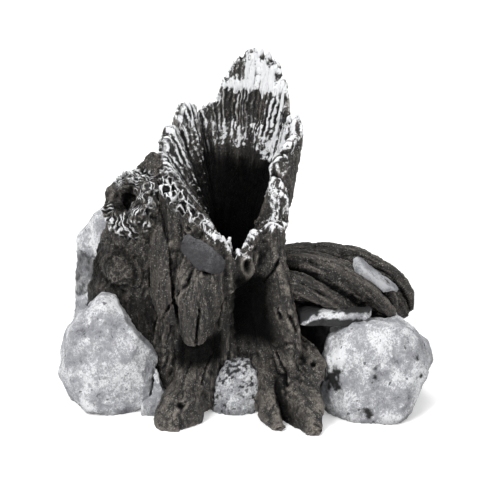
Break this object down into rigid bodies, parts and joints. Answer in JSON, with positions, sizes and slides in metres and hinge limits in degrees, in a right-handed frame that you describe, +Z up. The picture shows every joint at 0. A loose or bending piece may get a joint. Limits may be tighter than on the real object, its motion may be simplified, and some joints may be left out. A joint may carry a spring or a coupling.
{
  "type": "bubbling ornament",
  "caption": "Cast-resin tree stump for a pond or aquarium, hollow and open at a splintered mouth, with roots, side limbs and boulders, and an air stone on a push-fit bung behind.",
  "frame": {"origin": "centre of the bounding box at the base, on the floor the ornament stands on", "axes": "+X to the right in the picture, along the ornament's length; +Y towards the back, along the air port; +Z up"},
  "size_m": [0.1684, 0.1048, 0.1496],
  "materials": {
    "stump_resin": "matte cast resin, painted charcoal brown, dry-brushed white on the mouth",
    "boulder_resin": "matte cast resin, pale grey, dry-brushed white",
    "grey_resin": "matte cast resin, mid grey",
    "bush_plastic": "moulded, black",
    "bung_rubber": "moulded rubber, black",
    "stem_plastic": "moulded, pale grey",
    "cap_plastic": "moulded, dark blue",
    "air_stone": "bonded mineral grains, blue grey"
  },
  "bodies": {
    "ornament": {"stump_shell": "stump_resin", "bark_plate_left": "stump_resin", "bark_plate_front": "stump_resin", "lip_scale": "grey_resin", "left_burl": "stump_resin", "upper_limb": "stump_resin", "lower_limb": "stump_resin", "limb_stone": "grey_resin", "ledge_stone": "grey_resin", "left_boulder": "boulder_resin", "left_shard": "boulder_resin", "rear_left_boulder": "boulder_resin", "rear_boulder": "boulder_resin", "front_boulder": "boulder_resin", "right_boulder": "boulder_resin", "port_bush": "bush_plastic"},
    "air_unit": {"air_bung": "bung_rubber", "air_stem": "stem_plastic", "stone_cap": "cap_plastic", "air_stone": "air_stone"}
  },
  "joints": [
    {"name": "air_unit_slide", "type": "slide", "parent": "ornament", "child": "air_unit", "axis": [0, 1, 0], "range_m": [0, 0.06]}
  ]
}
